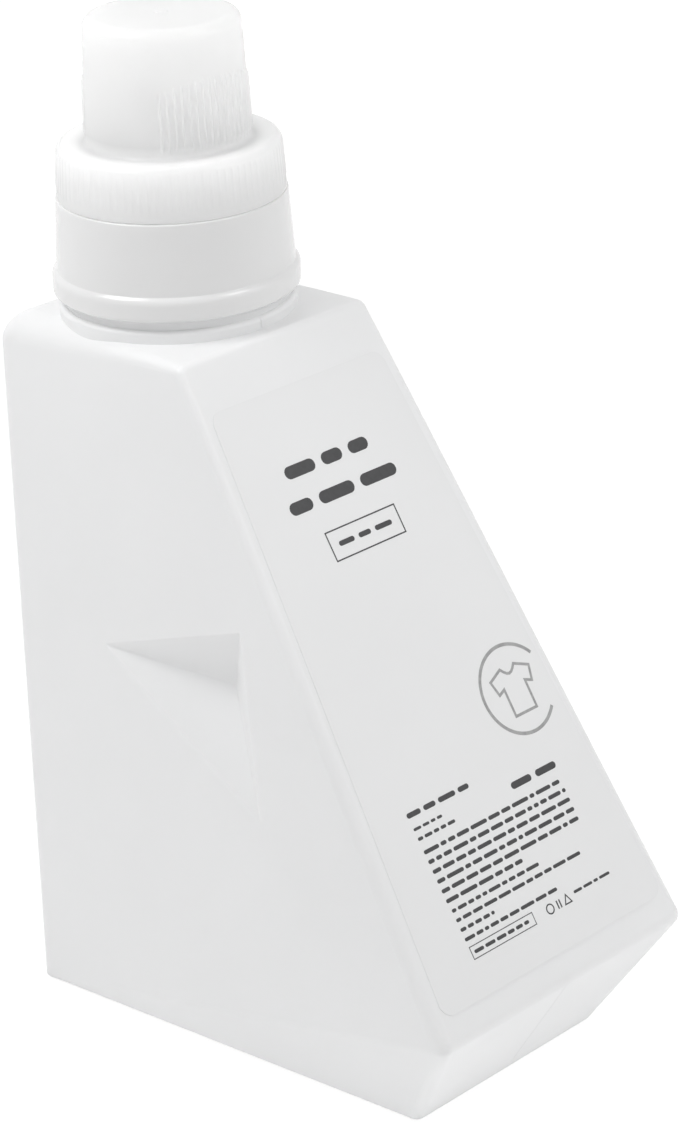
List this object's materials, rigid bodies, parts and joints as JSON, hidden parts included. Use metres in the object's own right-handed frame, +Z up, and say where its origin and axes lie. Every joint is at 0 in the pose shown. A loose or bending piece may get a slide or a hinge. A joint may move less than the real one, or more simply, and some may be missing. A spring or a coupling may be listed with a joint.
{
  "type": "laundry detergent dispenser bottle",
  "caption": "Faceted blow-moulded detergent bottle with an offset neck, a drain-back pour spout, a screw collar and a ribbed measuring cap.",
  "frame": {"origin": "middle of the bottle's length and width, on the surface it stands on", "axes": "+Z up along the neck axis, -Y the way the printed front face looks, X across; the neck stands 38.6 mm towards +Y of the origin"},
  "size_m": [0.0762, 0.1338, 0.2144],
  "materials": {
    "bottle_white": "satin white blow-moulded polyethylene",
    "label_film": "satin white printed film",
    "soft_seal": "soft pale elastomer",
    "spout_white": "satin white moulded polypropylene",
    "collar_white": "glossy white moulded polypropylene",
    "cap_frosted": "frosted translucent moulded polypropylene"
  },
  "bodies": {
    "bottle_body": {"bottle": "bottle_white", "front_label": "label_film"},
    "spout_body": {"pour_spout": "spout_white", "neck_gasket": "soft_seal"},
    "collar_body": {"screw_collar": "collar_white"},
    "seal_body": {"cap_seal": "soft_seal"},
    "cap_body": {"measuring_cap": "cap_frosted"}
  },
  "joints": [
    {"name": "closure_lift", "type": "slide", "parent": "bottle_body", "child": "spout_body", "axis": [0, 0, 1], "range_m": [0, 0.018]},
    {"name": "collar_turn", "type": "hinge", "parent": "spout_body", "child": "collar_body", "pos_m": [0, 0.03859, 0], "axis": [0, 0, 1], "range_deg": [0, 1080]},
    {"name": "cap_lift", "type": "slide", "parent": "collar_body", "child": "seal_body", "axis": [0, 0, 1], "range_m": [0, 0.02]},
    {"name": "cap_turn", "type": "hinge", "parent": "seal_body", "child": "cap_body", "pos_m": [0, 0.03859, 0], "axis": [0, 0, 1], "range_deg": [0, 900]}
  ],
  "couplings": [
    {"joint": "closure_lift", "follows": "collar_turn", "m_per_rad": 0.00095493},
    {"joint": "cap_lift", "follows": "cap_turn", "m_per_rad": 0.0012732}
  ]
}
